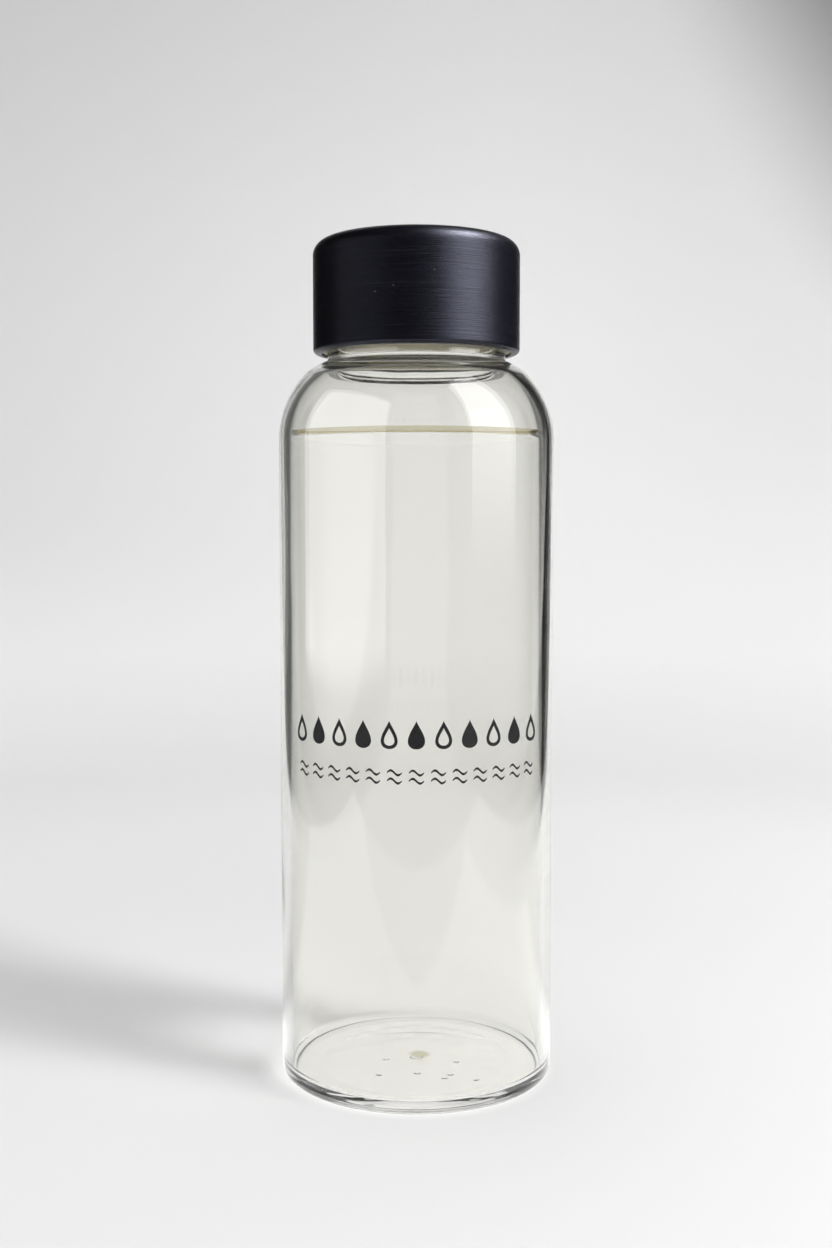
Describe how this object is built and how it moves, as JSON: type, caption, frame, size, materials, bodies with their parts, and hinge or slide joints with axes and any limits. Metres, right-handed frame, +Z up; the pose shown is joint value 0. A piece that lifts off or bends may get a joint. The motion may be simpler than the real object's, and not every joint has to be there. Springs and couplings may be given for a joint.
{
  "type": "glass water bottle",
  "caption": "Clear glass water bottle with a rounded shoulder, a wide threaded neck and a turned black wooden screw lid with a threaded liner and a seal.",
  "frame": {"origin": "centre of the bottle's foot, on the surface that it stands on", "axes": "+Z up along the bottle's axis; -Y is the printed front; +X to the right seen from the front"},
  "size_m": [0.068, 0.068, 0.2073],
  "materials": {
    "clear_glass": "polished, faint green-grey tint",
    "black_wood": "stained black, satin lacquer, fine turned grain",
    "liner_plastic": "moulded cream polypropylene, semi-matt",
    "seal_silicone": "translucent white, matt",
    "printed_ink": "black screen-printed ceramic ink, semi-matt",
    "drinking_water": "clear still water"
  },
  "bodies": {
    "bottle": {"glass_bottle": "clear_glass"},
    "lid_seal": {"silicone_seal": "seal_silicone"},
    "lid": {"lid_shell": "black_wood", "threaded_insert": "liner_plastic"}
  },
  "joints": [
    {"name": "lid_lift", "type": "slide", "parent": "bottle", "child": "lid_seal", "axis": [0, 0, 1], "range_m": [0, 0.024]},
    {"name": "lid_turn", "type": "hinge", "parent": "lid_seal", "child": "lid", "pos_m": [0, 0, 0.19], "axis": [0, 0, 1], "range_deg": [0, 1440]}
  ],
  "couplings": [
    {"joint": "lid_lift", "follows": "lid_turn", "m_per_rad": 0.00095493}
  ]
}
